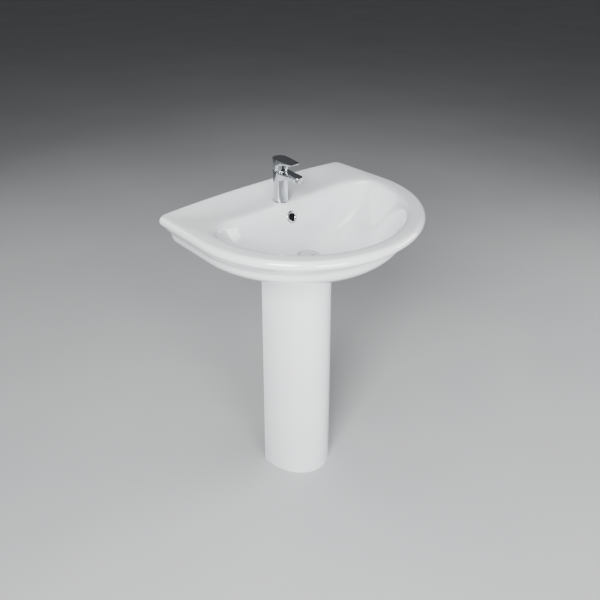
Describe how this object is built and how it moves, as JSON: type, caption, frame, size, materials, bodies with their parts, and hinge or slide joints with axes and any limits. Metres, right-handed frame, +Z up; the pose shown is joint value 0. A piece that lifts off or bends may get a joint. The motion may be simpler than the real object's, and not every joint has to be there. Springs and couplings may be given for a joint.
{
  "type": "pedestal wash basin",
  "caption": "D-shaped vitreous china wash basin on a hollow half-column pedestal, with a single lever mixer tap, push plug waste and bottle trap.",
  "frame": {"origin": "on the floor, under the middle of the box of the whole part; the wall plane is 214.5 mm behind it", "axes": "+Z up, +Y towards the wall, +X to the right of someone who faces the wall"},
  "size_m": [0.6, 0.519, 0.9488],
  "materials": {
    "vitreous_china": "white gloss glaze",
    "chromed_brass": "bright chrome plate",
    "zinc_steel": "zinc plated",
    "brass": "machined",
    "copper": "drawn copper",
    "white_plastic": "moulded polypropylene",
    "grey_plastic": "moulded",
    "alumina": "lapped",
    "rubber": "moulded"
  },
  "bodies": {
    "fixture": {"aerator_insert": "white_plastic", "aerator_shell": "chromed_brass", "aerator_washer": "rubber", "basin": "vitreous_china", "cartridge_housing": "white_plastic", "cartridge_nut": "brass", "cartridge_seal": "rubber", "cold_coupler": "brass", "cold_tail": "copper", "fixed_disc": "alumina", "hot_coupler": "brass", "hot_tail": "copper", "overflow_ring": "chromed_brass", "pedestal": "vitreous_china", "pedestal_seal": "rubber", "pipe_rose": "chromed_brass", "plug_guide": "white_plastic", "plug_spring": "zinc_steel", "stud": "zinc_steel", "stud_gasket": "rubber", "stud_nut": "brass", "stud_plate": "zinc_steel", "tap_body": "chromed_brass", "tap_dome": "chromed_brass", "tap_seal": "rubber", "trap_body": "white_plastic", "trap_bottle": "white_plastic", "trap_bottle_seal": "rubber", "trap_inlet_nut": "white_plastic", "trap_inlet_washer": "rubber", "trap_outlet_nut": "white_plastic", "trap_outlet_washer": "rubber", "wall_bolt_left": "zinc_steel", "wall_bolt_right": "zinc_steel", "wall_bush_left": "white_plastic", "wall_bush_right": "white_plastic", "wall_nut_left": "zinc_steel", "wall_nut_right": "zinc_steel", "wall_washer_left": "zinc_steel", "wall_washer_right": "zinc_steel", "waste_backnut": "brass", "waste_body": "chromed_brass", "waste_lower_seal": "rubber", "waste_pipe": "white_plastic", "waste_top_seal": "rubber"},
    "swivel": {"swivel_carrier": "grey_plastic", "lever_pin": "zinc_steel"},
    "lever": {"lever_handle": "chromed_brass", "lever_stem": "zinc_steel", "handle_screw": "zinc_steel", "index_cap": "grey_plastic"},
    "shutter": {"moving_disc": "alumina"},
    "plug": {"waste_plug": "chromed_brass", "plug_seal": "rubber"}
  },
  "joints": [
    {"name": "lever_swivel", "type": "hinge", "parent": "fixture", "child": "swivel", "pos_m": [0, 0.117, 0.9058], "axis": [0, 0, 1], "range_deg": [-45, 45]},
    {"name": "lever_lift", "type": "hinge", "parent": "swivel", "child": "lever", "pos_m": [0, 0.117, 0.9058], "axis": [-1, 0, 0], "range_deg": [0, 20]},
    {"name": "shutter_slide", "type": "slide", "parent": "swivel", "child": "shutter", "axis": [0, -1, 0], "range_m": [0, 0.0025]},
    {"name": "plug_lift", "type": "slide", "parent": "fixture", "child": "plug", "axis": [0, 0, 1], "range_m": [0, 0.008], "deforming": ["plug_spring"]}
  ],
  "couplings": [
    {"joint": "shutter_slide", "follows": "lever_lift", "m_per_rad": 0.0068}
  ]
}
